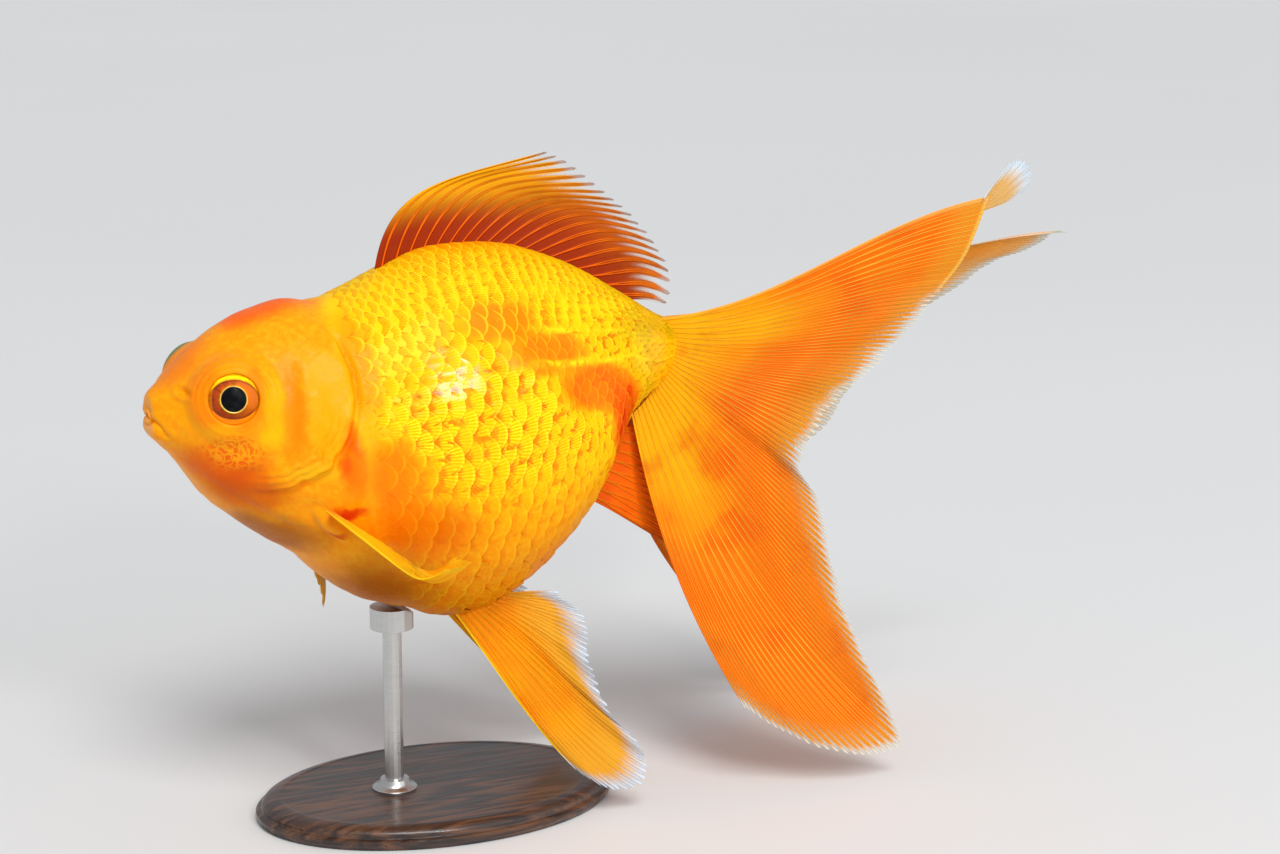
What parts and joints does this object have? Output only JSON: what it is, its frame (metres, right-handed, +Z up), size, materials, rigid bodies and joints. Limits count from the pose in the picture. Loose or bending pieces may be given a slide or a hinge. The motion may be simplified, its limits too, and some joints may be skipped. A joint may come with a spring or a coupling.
{
  "type": "goldfish",
  "caption": "Life-size fancy goldfish with a rounded body and a long double tail, swimming level on a small display stand.",
  "frame": {"origin": "middle of the flat underside of the stand's oval base, on the floor", "axes": "+X towards the tips of the tail (the fish faces -X), +Z up along its back, +Y towards its right side"},
  "size_m": [0.1943, 0.0675, 0.1204],
  "materials": {
    "body_skin": null,
    "fin_skin": null,
    "eye": "glossy, black pupil in a red-brown iris with a gold ring",
    "stand_wood": "ebonised, satin",
    "stand_steel": "brushed"
  },
  "bodies": {
    "root": {"head": "body_skin", "lower_jaw": "body_skin", "gill_cover_left": "body_skin", "gill_cover_right": "body_skin", "trunk": "body_skin", "tail_stem": "body_skin", "dorsal_fin": "fin_skin", "tail_fin_left": "fin_skin", "tail_fin_right": "fin_skin", "anal_fin_left": "fin_skin", "anal_fin_right": "fin_skin", "pelvic_fin_left": "fin_skin", "pelvic_fin_right": "fin_skin", "pectoral_fin_left": "fin_skin", "pectoral_fin_right": "fin_skin", "eye_left": "eye", "eye_right": "eye", "stand_base": "stand_wood", "stand_rod": "stand_steel", "stand_cup": "stand_steel"}
  },
  "joints": []
}
